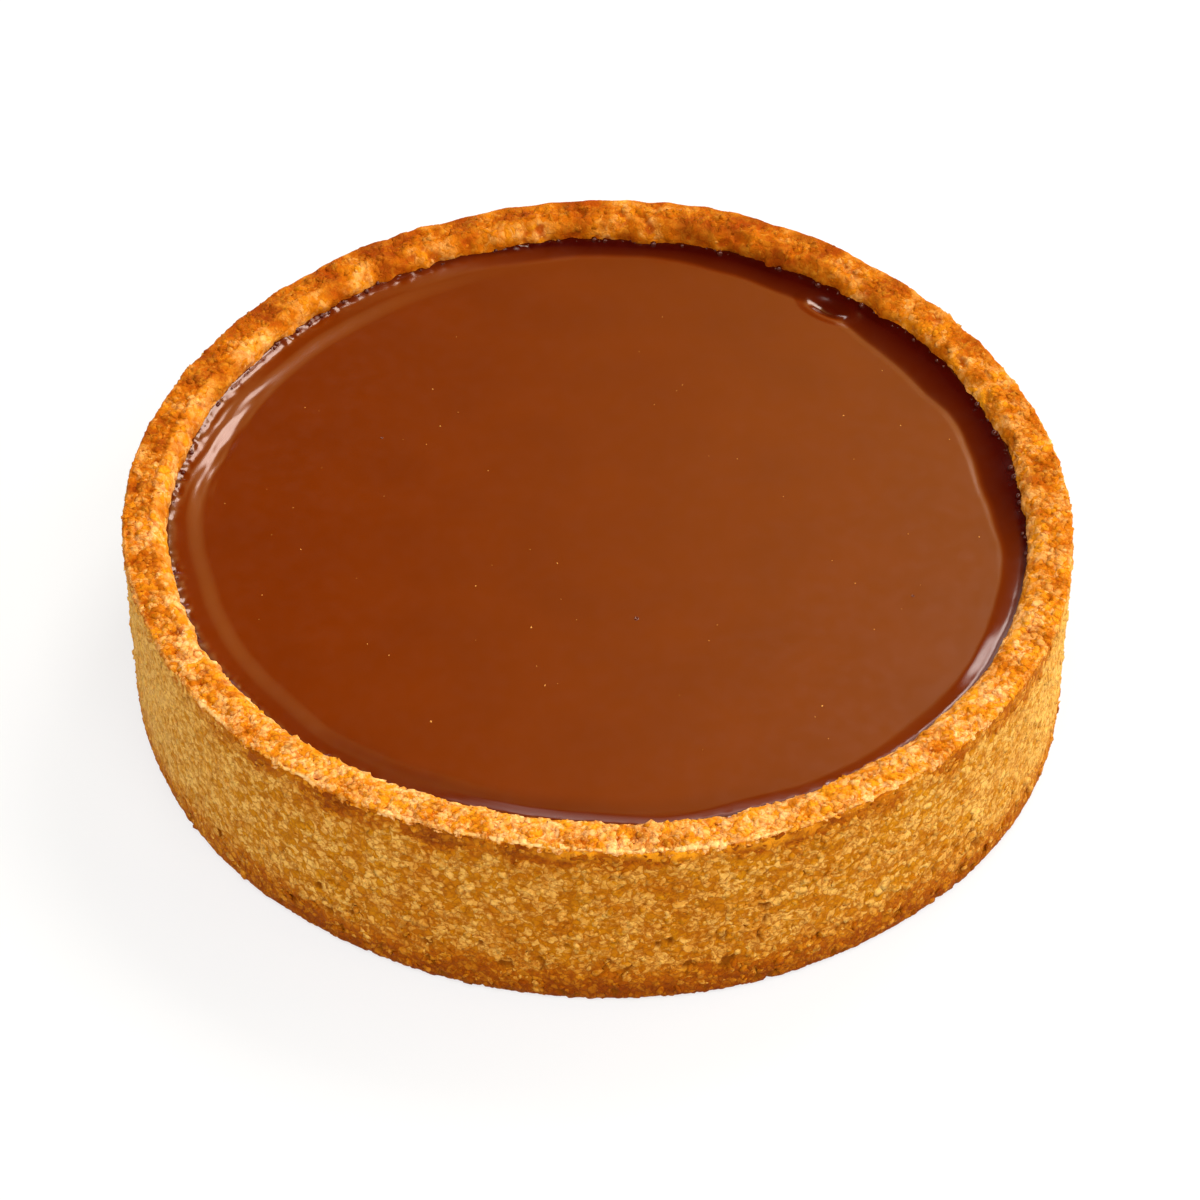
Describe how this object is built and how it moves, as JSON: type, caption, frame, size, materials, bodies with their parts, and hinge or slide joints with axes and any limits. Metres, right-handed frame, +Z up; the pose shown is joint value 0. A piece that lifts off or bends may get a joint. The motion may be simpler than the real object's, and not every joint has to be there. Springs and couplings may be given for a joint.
{
  "type": "chocolate tart",
  "caption": "Round shallow tart with a straight-walled baked shortcrust shell, an uneven trimmed rim and a smooth glossy filling of set chocolate just below it.",
  "frame": {"origin": "centre of the flat underside, on the surface that the tart stands on", "axes": "+Z up through the middle of the filling; -Y is the side nearest the viewer"},
  "size_m": [0.0902, 0.09, 0.0204],
  "materials": {
    "crust": "baked shortcrust: dry, matt and grainy, golden on the wall, browner on the rim and at the foot",
    "chocolate": "set milk-brown chocolate, smooth and glossy, darker where it meets the crust"
  },
  "bodies": {
    "root": {"tart_shell": "crust", "chocolate_filling": "chocolate"}
  },
  "joints": []
}
